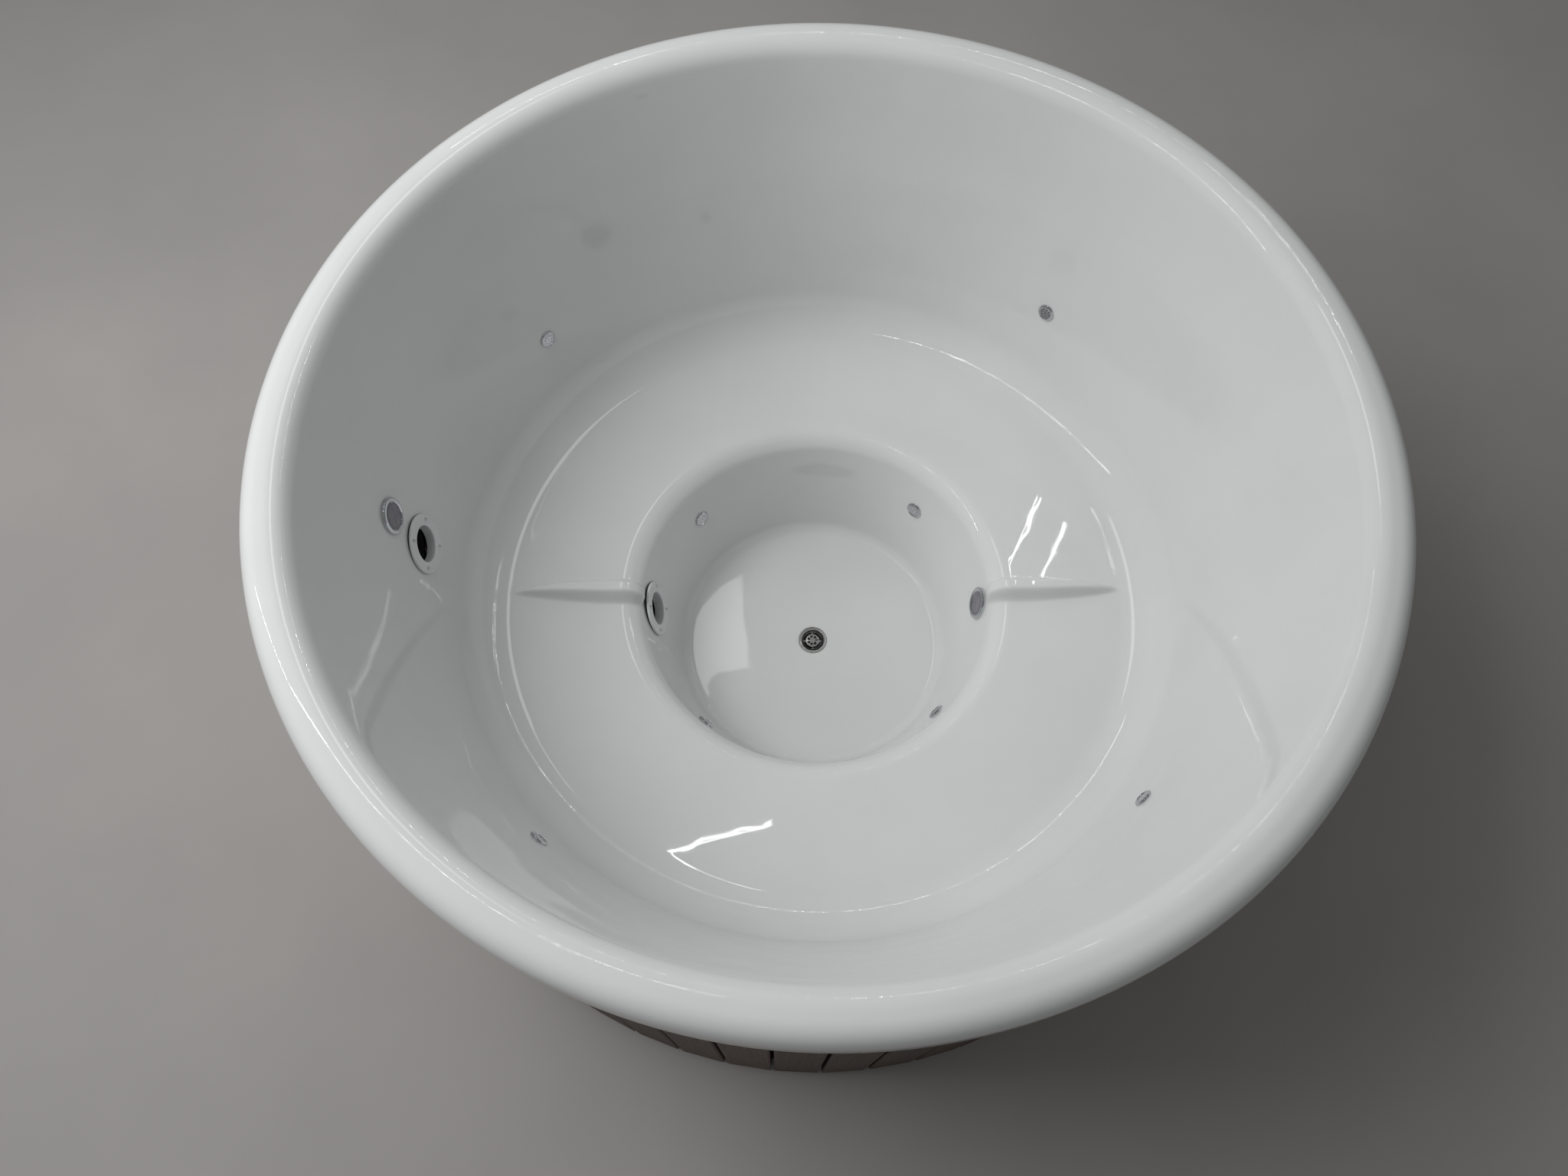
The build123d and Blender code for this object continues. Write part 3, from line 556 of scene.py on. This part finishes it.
def plywoodMaterial():
    look = {"film": (0.085, 0.048, 0.028), "filmLight": (0.125, 0.075, 0.045), "ply": (0.52, 0.36, 0.21),
            "glue": (0.22, 0.13, 0.075), "plies": 9}
    material, tree, shader, where = newMaterial("plywood")
    mottle = addGroup(tree, mottleGroup, {"Vector": where, "Cloud Scale": 8.0, "Speck Scale": 350.0})
    film = blendColours(tree, mottle["Mask"], look["film"], look["filmLight"])
    height = addNode(tree, "ShaderNodeSeparateXYZ", {"Vector": where}).outputs["Z"]
    layer = calc(tree, "FRACT", calc(tree, "MULTIPLY", height, look["plies"] / 0.018))
    plies = blendColours(tree, spread(tree, layer, 0.75, 0.9), look["ply"], look["glue"])
    facing = addNode(tree, "ShaderNodeSeparateXYZ", {
        "Vector": addNode(tree, "ShaderNodeNewGeometry").outputs["Normal"]}).outputs["Z"]
    flat = spread(tree, calc(tree, "ABSOLUTE", facing), 0.4, 0.6)
    tree.links.new(blendColours(tree, flat, plies, film), shader.inputs["Base Color"])
    tree.links.new(spread(tree, mottle["Specks"], 0, 1, 0.35, 0.55), shader.inputs["Roughness"])
    addBump(tree, shader, mottle["Height"], 0.0003, 0.5)
    return material


def mouldedMaterial(name, colour, dirt, roughLow, roughHigh, speck=700.0, relief=0.00012):
    # moulded plastic or rubber: a fine matt grain, slight clouds, and a little grime in them
    material, tree, shader, where = newMaterial(name)
    mottle = addGroup(tree, mottleGroup, {"Vector": where, "Cloud Scale": 14.0, "Speck Scale": speck})
    cover = calc(tree, "MULTIPLY", mottle["Mask"], 0.35)
    tree.links.new(blendColours(tree, cover, colour, dirt), shader.inputs["Base Color"])
    rough = spread(tree, calc(tree, "ADD", mottle["Mask"], mottle["Specks"]), 0, 2, roughLow, roughHigh)
    tree.links.new(rough, shader.inputs["Roughness"])
    addBump(tree, shader, mottle["Height"], relief, 0.6)
    return material


def chromeMaterial():
    material, tree, shader, where = newMaterial("chrome")
    mottle = addGroup(tree, mottleGroup, {"Vector": where, "Cloud Scale": 60.0, "Speck Scale": 1800.0})
    colour = blendColours(tree, mottle["Mask"], (0.66, 0.67, 0.69), (0.56, 0.57, 0.59))
    tree.links.new(colour, shader.inputs["Base Color"])
    tree.links.new(spread(tree, mottle["Mask"], 0, 1, 0.05, 0.14), shader.inputs["Roughness"])
    addBump(tree, shader, mottle["Specks"], 0.00001, 0.3)
    shader.inputs["Metallic"].default_value = 1.0
    return material


def steelMaterial():
    # stainless steel with the fine rings that turning leaves round the tub's axis
    material, tree, shader, where = newMaterial("steel")
    parts = addNode(tree, "ShaderNodeSeparateXYZ", {"Vector": where})
    level = addNode(tree, "ShaderNodeCombineXYZ", {"X": parts.outputs["X"], "Y": parts.outputs["Y"]})
    length = addNode(tree, "ShaderNodeVectorMath", {0: level.outputs[0]}, operation="LENGTH")
    radial = length.outputs["Value"]
    rings = addNode(tree, "ShaderNodeTexNoise", {
        "W": calc(tree, "MULTIPLY", radial, 2600.0), "Scale": 1.0, "Detail": 3.0}, noise_dimensions="1D")
    mottle = addGroup(tree, mottleGroup, {"Vector": where, "Cloud Scale": 45.0, "Speck Scale": 1500.0})
    colour = blendColours(tree, mottle["Mask"], (0.66, 0.655, 0.64), (0.56, 0.55, 0.53))
    tree.links.new(colour, shader.inputs["Base Color"])
    tree.links.new(spread(tree, rings.outputs[0], 0.3, 0.7, 0.14, 0.30), shader.inputs["Roughness"])
    addBump(tree, shader, rings.outputs[0], 0.00002, 0.5)
    shader.inputs["Metallic"].default_value = 1.0
    return material


def castMaterial():
    material, tree, shader, where = newMaterial("darkMetal")
    mottle = addGroup(tree, mottleGroup, {"Vector": where, "Cloud Scale": 30.0, "Speck Scale": 900.0,
                                          "Speck Share": 0.8})
    tree.links.new(blendColours(tree, mottle["Mask"], (0.055, 0.058, 0.062), (0.095, 0.096, 0.10)),
                   shader.inputs["Base Color"])
    tree.links.new(spread(tree, mottle["Specks"], 0, 1, 0.38, 0.6), shader.inputs["Roughness"])
    addBump(tree, shader, mottle["Height"], 0.0004, 0.6)
    shader.inputs["Metallic"].default_value = 0.4
    return material


def lensMaterial():
    material, tree, shader, where = newMaterial("lens")
    mottle = addGroup(tree, mottleGroup, {"Vector": where, "Cloud Scale": 40.0, "Speck Scale": 900.0})
    tree.links.new(blendColours(tree, mottle["Mask"], (0.125, 0.115, 0.140), (0.165, 0.155, 0.180)),
                   shader.inputs["Base Color"])
    tree.links.new(spread(tree, mottle["Mask"], 0, 1, 0.08, 0.16), shader.inputs["Roughness"])
    shader.inputs["IOR"].default_value = 1.49
    shader.inputs["Coat Weight"].default_value = 0.5
    shader.inputs["Coat Roughness"].default_value = 0.05
    return material


materials = {
    "gelcoat": gelcoatMaterial(),
    "dark_wood": boardMaterial(),
    "frame_timber": timberMaterial("frameTimber", (0.30, 0.185, 0.095), (0.52, 0.36, 0.21)),
    "plywood": plywoodMaterial(),
    "white_plastic": mouldedMaterial("whitePlastic", (0.72, 0.74, 0.74), (0.60, 0.61, 0.59), 0.22, 0.38),
    "grey_plastic": mouldedMaterial("greyPlastic", (0.30, 0.32, 0.34), (0.22, 0.23, 0.24), 0.28, 0.45),
    "black_plastic": mouldedMaterial("blackPlastic", (0.018, 0.018, 0.020), (0.045, 0.044, 0.043),
                                     0.30, 0.48),
    "red_plastic": mouldedMaterial("redPlastic", (0.42, 0.022, 0.018), (0.27, 0.025, 0.02), 0.28, 0.42),
    "black_rubber": mouldedMaterial("blackRubber", (0.020, 0.020, 0.021), (0.050, 0.048, 0.046), 0.55, 0.78,
                                    500.0, 0.0003),
    "steel": steelMaterial(),
    "chrome": chromeMaterial(),
    "dark_metal": castMaterial(),
    "lens": lensMaterial(),
}
bearerTimber = timberMaterial("bearerTimber", (0.24, 0.16, 0.09), (0.42, 0.30, 0.18),
                              (0, math.radians(-90), math.radians(-45)))
print("materials made:", len(materials))

for part in frame["record"]["subparts"]:
    node = nodes.get(part["node"])
    if node is None:
        continue
    material = materials[part["material_slot"]]
    if part["node"].startswith("bearer"):
        material = bearerTimber
    node.data.materials.clear()
    node.data.materials.append(material)


# The shell: one outline spun round the axis and given its thickness, then ridges raised and holes bored

shell = {
    "drainHole": 0.0243,
    "rounds": (0.030, 0.050, 0.110, 0.045, 0.038),
    "arcSteps": (8, 20, 18, 14, 14),
    "runSteps": (6, 10, 26, 12, 2, 3),
    "fineSector": 11.0,
    "fineSteps": 44,
    "plainSteps": 90,
    "ridgeHeight": 0.036,
    "ridgeHalfWidth": 0.031,
    "ridgeTip": 0.672,
    "noseTurn": 66.0,
    "boreGap": 0.0003,
    "boreDepth": 0.03,
}


def ridgeRise(x, y, z, radius):
    # how far the wet side rises at a point, and which way
    turn = math.atan2(tub["benchLevel"] - tub["floorLevel"], tub["wellTopRadius"] - tub["wellFootRadius"])
    edgeRound = shell["rounds"][1]
    levelStart = tub["wellTopRadius"] + edgeRound * math.tan(turn / 2)
    centre = tub["benchLevel"] - edgeRound
    if x >= levelStart:
        along = (x - levelStart) / (shell["ridgeTip"] - levelStart)
        if along >= 1:
            return None
        height = shell["ridgeHeight"] * (1 - along ** 4)
        half = shell["ridgeHalfWidth"] * (1 - 0.86 * along ** 1.7)
        way = Vector((0, 0, 1))
    else:
        fall = math.degrees(math.atan2(levelStart - radius, z - centre))
        along = fall / shell["noseTurn"]
        if along >= 1 or z < centre:
            return None
        height = shell["ridgeHeight"] * (1 - max(along, 0) ** 2.4)
        half = shell["ridgeHalfWidth"] * (1 - 0.12 * max(along, 0))
        lean = math.radians(fall)
        way = Vector((-math.sin(lean) * x / radius, -math.sin(lean) * y / radius, math.cos(lean)))
    share = (abs(y) / half - 0.22) / (1.06 - 0.22)
    if share >= 1:
        return None
    share = max(share, 0)
    return way * height * (1 - share ** 3 * (share * (share * 6 - 15) + 10))


def buildShell():
    corners = [
        (shell["drainHole"], tub["floorLevel"]), (tub["wellFootRadius"], tub["floorLevel"]),
        (tub["wellTopRadius"], tub["benchLevel"]), (tub["benchOuterRadius"], tub["benchLevel"]),
        (tub["wallTopRadius"], tub["rimTop"]), (tub["rimRadius"], tub["rimTop"]),
        (tub["rimRadius"], tub["rimTop"] - tub["rimDrop"])]
    points = roundedPath(corners, shell["rounds"], shell["arcSteps"], shell["runSteps"])
    half = math.radians(shell["fineSector"] / 2)
    obj = drawOutline("shellMoulding", points, azimuth=half)
    fine = (2 * half, shell["fineSteps"])
    plain = (math.pi - 2 * half, shell["plainSteps"])
    spinRound(obj, [fine, plain, fine, plain], closeGap=2e-5)
    wetCount = len(obj.data.vertices)
    facing = sum(face.normal.z * face.area for face in obj.data.polygons)
    if facing < 0:
        pick(obj)
        bpy.ops.object.mode_set(mode="EDIT")
        bpy.ops.mesh.select_all(action="SELECT")
        bpy.ops.mesh.flip_normals()
        bpy.ops.object.mode_set(mode="OBJECT")
    applyModifier(obj, "SOLIDIFY", thickness=tub["wall"], offset=-1.0, use_even_offset=True)
    for vertex in obj.data.vertices[:wetCount]:
        x, y, z = vertex.co
        if abs(y) > shell["ridgeHalfWidth"] * 1.1 or z > tub["benchLevel"] + 0.02:
            continue
        side = 1 if x > 0 else -1
        rise = ridgeRise(x * side, y * side, z, math.hypot(x, y))
        if rise is not None:
            vertex.co += Vector((rise.x * side, rise.y * side, rise.z))
    cutters = []
    bores = [
        (nozzlePlaces, nozzle["holeRadius"], 0.015, 40),
        (lampPlaces, lamp["cupRadius"] + shell["boreGap"], 0.015, 56),
        (heaterPlaces, heater["spigotRadius"] + shell["boreGap"], 0.02, 64)]
    for places, radius, high, sides in bores:
        for place, _ in places.values():
            cutters.append(roundBar(radius, -shell["boreDepth"], high, place, sides))
    cutAway(obj, cutters)
    return finishPiece(obj, materials["gelcoat"], ["shell"], 55)


buildShell()
print("shell moulded")


# Nozzle caps: a round dome, a flat face and nine pin holes

def buildCap():
    r, dome = nozzle["capRadius"], nozzle["domeHeight"]
    face, low = nozzle["faceRadius"], nozzle["faceHeight"]
    points = roundedPath(
        [(0, low), (face, low), (face + 0.0007, dome), (r, dome), (r, 0.0001), (r - 0.004, 0.0001),
         (r - 0.004, low - 0.0014), (0, low - 0.0014)],
        [0.0006, 0.0005, 0.0042, 0.0002, 0.0, 0.0], 5)
    cap = turnedPiece("nozzleCap", points, 56)
    pins = [roundBar(nozzle["pinHoleRadius"], 0, low * 2, sides=14)]
    for number in range(nozzle["outerHoles"]):
        angle = 2 * math.pi * number / nozzle["outerHoles"]
        shift = Matrix.Translation((
            nozzle["outerHoleCircle"] * math.cos(angle), nozzle["outerHoleCircle"] * math.sin(angle), 0))
        pins.append(roundBar(nozzle["pinHoleRadius"], 0, low * 2, shift, 14))
    cutAway(cap, pins)
    return cap


turnOfCap = random.Random(4)
capPattern = buildCap()
for name, (place, _) in nozzlePlaces.items():
    spinOfCap = Matrix.Rotation(turnOfCap.uniform(0, math.pi), 4, "Z")
    side, number = name.split("_")
    cap = copyOf(capPattern, f"cap{side.title()}{number}", place @ spinOfCap)
    finishPiece(cap, materials["chrome"], [f"nozzle_cap_{name}"], 30)
bpy.data.objects.remove(capPattern)
print("nozzle caps fitted")


# Pipe flanges and their screws

def buildFlange(depth):
    back = depth + heater["sealThickness"]
    front = back + heater["thickness"]
    bore, edge = heater["boreRadius"], heater["flangeRadius"]
    points = roundedPath(
        [(bore, -heater["spigotLength"]), (bore, front), (edge, front), (edge, back),
         (heater["spigotRadius"], back), (heater["spigotRadius"], -heater["spigotLength"]),
         (bore, -heater["spigotLength"])],
        [0.0028, 0.0022, 0.0004, 0.0008, 0.0], [8, 8, 2, 3, 1], [4, 1, 1, 1, 1, 1])
    return turnedPiece("flange", points, 96), front


def buildScrew():
    r, h = heater["screwHeadRadius"], heater["screwHeadHeight"]
    points = roundedPath(
        [(0, h), (r * 0.55, h), (r, h * 0.35), (r, 0), (r * 0.5, 0), (r * 0.5, -0.012), (0, -0.014)],
        [0.0016, 0.0010, 0.0002, 0.0, 0.0], 4)
    screw = turnedPiece("screw", points, 24)
    for turn in (0, 90):
        cutAway(screw, [boxBar((r * 1.1, r * 0.2, h * 0.9), (0, 0, h), turn)])
    return screw


screwPattern = buildScrew()
allScrews = []
turnOfScrew = random.Random(9)
for name, (place, bend) in heaterPlaces.items():
    flange, front = buildFlange(curveDepth(heater["flangeRadius"], bend))
    setPlace(flange, place)
    flange.name = f"flange{name.title()}"
    finishPiece(flange, materials["white_plastic"], [f"heater_flange_{name}"], 30)
    for number in range(heater["screwCount"]):
        angle = math.radians(heater["screwTurn"] + 360 / heater["screwCount"] * number)
        spot = Matrix.Translation((
            heater["screwCircle"] * math.cos(angle), heater["screwCircle"] * math.sin(angle), front))
        spot = spot @ Matrix.Rotation(turnOfScrew.uniform(0, math.pi), 4, "Z")
        allScrews.append(copyOf(screwPattern, "screw", place @ spot))
bpy.data.objects.remove(screwPattern)
finishPiece(joined(allScrews, "flangeScrews"), materials["steel"], ["heater_screws"], 30)
print("heater flanges fitted")


# Lamps: a bezel with a rounded lip, and a ribbed lens

def buildBezel(depth):
    front = depth + lamp["bezelHeight"]
    inner, edge = lamp["lensRadius"] + 0.0003, lamp["bezelRadius"]
    throat = lamp["cupRadius"] + 0.0004
    seat = front - 0.0042
    points = roundedPath(
        [(throat, seat), (inner, seat), (inner, front - 0.0022), (inner + 0.0035, front),
         (edge, front), (edge, 0.0001), (throat, 0.0001), (throat, seat)],
        [0.0, 0.0006, 0.0022, 0.0048, 0.0004, 0.0], 6)
    return turnedPiece("bezel", points, 72), seat


def buildLens(seat):
    r = lamp["lensRadius"]
    points = roundedPath(
        [(0, seat + 0.0016), (r * 0.86, seat + 0.0024), (r * 0.9, seat + 0.0014), (r, seat + 0.0014),
         (r, seat), (0, seat)],
        [0.0006, 0.0004, 0.0003, 0.0], 4, [10, 1, 1, 1, 1])
    lens = turnedPiece("lensDisc", points, 72)
    for turn in (45, 135):
        # two crossing grooves part the lens into quarters
        size = (r * lamp["grooveShare"], lamp["grooveWidth"], lamp["grooveTall"])
        cutAway(lens, [boxBar(size, (0, 0, seat + lamp["grooveLift"]), turn)])
    return lens


for name, (place, bend) in lampPlaces.items():
    bezel, seat = buildBezel(curveDepth(lamp["bezelRadius"], bend))
    lens = buildLens(seat)
    for obj, label, material, node in ((bezel, "Bezel", "chrome", "bezel"), (lens, "Lens", "lens", "lens")):
        setPlace(obj, place)
        obj.name = f"lamp{name.title()}{label}"
        finishPiece(obj, materials[material], [f"lamp_{name}_{node}"], 30)
print("lamps fitted")


# Drain: a dished flange, and a grid on its centre screw

drain = {
    "flangeRadius": 0.035,
    "flangeThickness": 0.002,
    "throatRadius": 0.0215,
    "tailRadius": 0.024,
    "dishDepth": 0.007,
    "tailLength": 0.034,
    "gridRadius": 0.0165,
    "gridThickness": 0.002,
    "gridSeat": 0.092,
    "gridHoles": 7,
    "gridHoleRadius": 0.0035,
    "gridHoleCircle": 0.0098,
    "screwRadius": 0.0042,
    "armWidth": 0.003,
    "armHeight": 0.005,
    "armDrop": 0.0055,
    "armBite": 0.0004,
    "slotSize": (0.012, 0.0011, 0.002),
    "slotLift": 0.0018,
    "slotTurn": 35,
}


def buildDrain():
    level = tub["floorLevel"]
    top = level + drain["flangeThickness"]
    throat, tail, edge = drain["throatRadius"], drain["tailRadius"], drain["flangeRadius"]
    low = level - drain["tailLength"]
    points = roundedPath(
        [(throat, low), (throat, level - drain["dishDepth"]), (edge - 0.007, top - 0.0004), (edge, top),
         (edge, level), (tail, level), (tail, low), (throat, low)],
        [0.003, 0.006, 0.0012, 0.0002, 0.0, 0.0], [5, 6, 4, 2, 1, 1])
    flange = turnedPiece("drainBowl", points, 72)
    size = (2 * throat + drain["armBite"], drain["armWidth"], drain["armHeight"])
    arms = [boxBar(size, (0, 0, drain["gridSeat"] - drain["armDrop"]), turn) for turn in (0, 90)]
    flange = joined([flange] + arms, "drainBowl")
    finishPiece(flange, materials["steel"], ["drain_flange"], 30)
    seat, thick, r = drain["gridSeat"], drain["gridThickness"], drain["gridRadius"]
    points = roundedPath(
        [(0, seat + thick), (r, seat + thick), (r, seat), (0, seat)], [0.0009, 0.0004], 4)
    grid = turnedPiece("drainGrid", points, 56)
    holes = []
    for number in range(drain["gridHoles"]):
        angle = 2 * math.pi * number / drain["gridHoles"]
        shift = Matrix.Translation((
            drain["gridHoleCircle"] * math.cos(angle), drain["gridHoleCircle"] * math.sin(angle), 0))
        holes.append(roundBar(drain["gridHoleRadius"], seat - 0.001, seat + thick + 0.001, shift, 24))
    cutAway(grid, holes)
    s = drain["screwRadius"]
    points = roundedPath(
        [(0, seat + thick + 0.0016), (s * 0.6, seat + thick + 0.0016), (s, seat + thick + 0.0005),
         (s, seat + thick - 0.0002), (0, seat + thick - 0.0002)], [0.002, 0.0008, 0.0], 4)
    head = turnedPiece("gridScrew", points, 32)
    cutAway(head, [boxBar(drain["slotSize"], (0, 0, seat + thick + drain["slotLift"]), drain["slotTurn"])])
    grid = joined([grid, head], "drainGrid")
    finishPiece(grid, materials["steel"], ["drain_grid"], 30)


buildDrain()
print("drain fitted")


# Floor, light and camera

def buildStage():
    floorLook = {"size": 14.0, "colour": (0.40, 0.385, 0.37), "cloud": (0.36, 0.347, 0.335)}
    clearSelection()
    bpy.ops.mesh.primitive_plane_add(size=floorLook["size"], location=(0, 0, 0))
    floor = bpy.context.object
    floor.name = "studioFloor"
    material, tree, shader, where = newMaterial("studioFloor")
    mottle = addGroup(tree, mottleGroup, {"Vector": where, "Cloud Scale": 1.2, "Speck Scale": 120.0})
    tree.links.new(blendColours(tree, mottle["Mask"], floorLook["colour"], floorLook["cloud"]),
                   shader.inputs["Base Color"])
    shader.inputs["Roughness"].default_value = 0.75
    floor.data.materials.append(material)


def addSoftbox(name, place, aim, size, power, mirrored=True):
    # a light that is not mirrored still lights the pieces, but shiny ones do not show it
    light = bpy.data.lights.new(name, "AREA")
    light.shape = "RECTANGLE"
    light.size, light.size_y = size
    light.energy = power
    obj = bpy.data.objects.new(name, light)
    bpy.context.collection.objects.link(obj)
    obj.location = place
    obj.rotation_euler = (Vector(aim) - Vector(place)).to_track_quat("-Z", "Y").to_euler()
    obj.visible_glossy = mirrored


def addLights():
    world = bpy.data.worlds.new("studioWorld")
    bpy.context.scene.world = world
    world.use_nodes = True
    background = world.node_tree.nodes["Background"]
    background.inputs["Color"].default_value = (0.98, 0.99, 1.0, 1)
    background.inputs["Strength"].default_value = 0.19
    addSoftbox("keyBox", (-2.4, 0.3, 3.7), (0.2, -0.1, 0.4), (2.8, 2.8), 118, mirrored=False)
    addSoftbox("softWindow", (-0.46, 1.6, 3.7), (-0.2, 0.1, 0.1), (0.4, 0.6), 1.5)
    addSoftbox("stripRear", (0.1, 2.6, 3.2), (0, 0.5, 0.4), (3.0, 0.009), 4)
    addSoftbox("stripFront", (-0.35, 0.1, 3.2), (-0.2, -0.5, 0.4), (0.5, 0.007), 0.5)
    for number in range(2):
        place = (1.2 + 0.22 * number, 1.75, 3.2)
        addSoftbox(f"stripRight{number + 1}", place, (0.5, 0.2, 0.4), (0.006, 0.9), 0.8)
    addSoftbox("stripLeft", (-1.7, 0.2, 3.1), (-0.3, 0, 0.4), (0.009, 2.6), 3.5)


def addCamera():
    # the viewing angle: where the camera stands, the way it looks, and its roll
    look = {
        "place": (-0.0924, -1.1121, 2.7883),
        "azimuth": 88.92,
        "down": 65.04,
        "roll": 0.67,
        "lens": 27.306,
    }
    azimuth, down, roll = (math.radians(look[key]) for key in ("azimuth", "down", "roll"))
    forward = Vector((
        math.cos(azimuth) * math.cos(down), math.sin(azimuth) * math.cos(down), -math.sin(down)))
    right = Vector((math.sin(azimuth), -math.cos(azimuth), 0))
    up = right.cross(forward)
    rolledRight = right * math.cos(roll) + up * math.sin(roll)
    rolledUp = up * math.cos(roll) - right * math.sin(roll)
    data = bpy.data.cameras.new("viewCamera")
    data.sensor_width = 36
    data.lens = look["lens"]
    camera = bpy.data.objects.new("viewCamera", data)
    bpy.context.collection.objects.link(camera)
    turned = Matrix((rolledRight, rolledUp, -forward)).transposed().to_4x4()
    turned.translation = Vector(look["place"])
    camera.matrix_world = turned
    bpy.context.scene.camera = camera


buildStage()
addLights()
addCamera()
bpy.context.scene.view_settings.view_transform = "Standard"
print("floor, lights and camera set")
